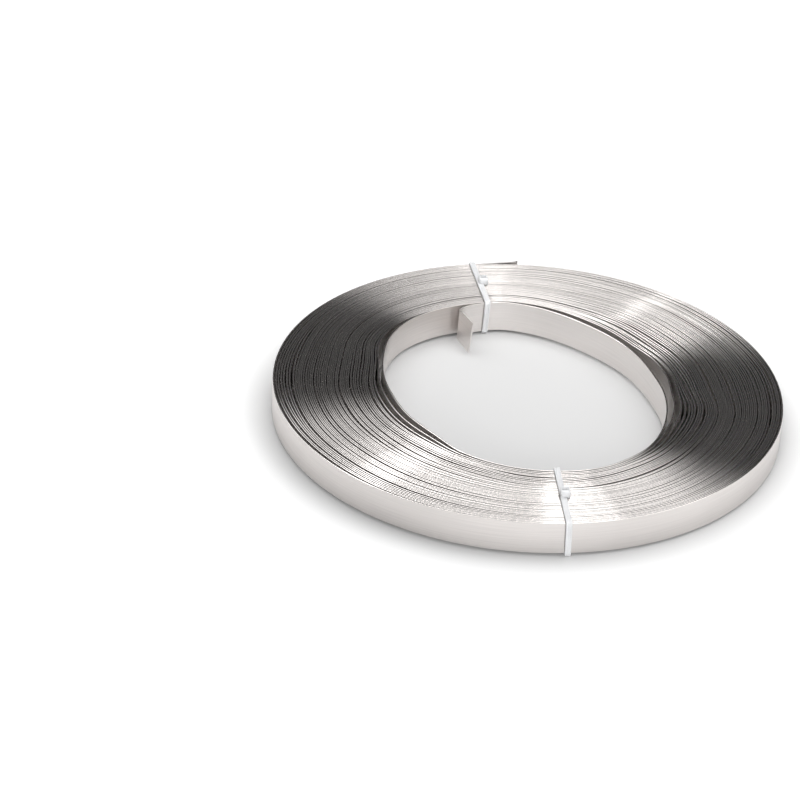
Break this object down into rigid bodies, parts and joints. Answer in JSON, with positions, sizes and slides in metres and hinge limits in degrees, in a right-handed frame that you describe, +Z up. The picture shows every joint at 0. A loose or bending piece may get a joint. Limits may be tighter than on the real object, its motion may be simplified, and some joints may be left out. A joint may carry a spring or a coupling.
{
  "type": "stainless steel banding strap coil",
  "caption": "Flat stainless steel banding strap wound into a ring-shaped coil, bound front and back by nylon cable ties, with a folded inner end and a free outer end.",
  "frame": {"origin": "on the coil's axis, at the level of the floor that the lying coil rests on", "axes": "+Z up along the coil's axis, +Y towards the back tie and the strap's free ends, +X to the right"},
  "size_m": [0.244, 0.2474, 0.0224],
  "materials": {
    "stainless_strap": "bright rolled faces with fine lengthwise lines, satin slit edges",
    "nylon": "natural nylon, satin, slightly translucent"
  },
  "bodies": {
    "root": {"strap": "stainless_strap", "front_tie": "nylon", "back_tie": "nylon"}
  },
  "joints": []
}
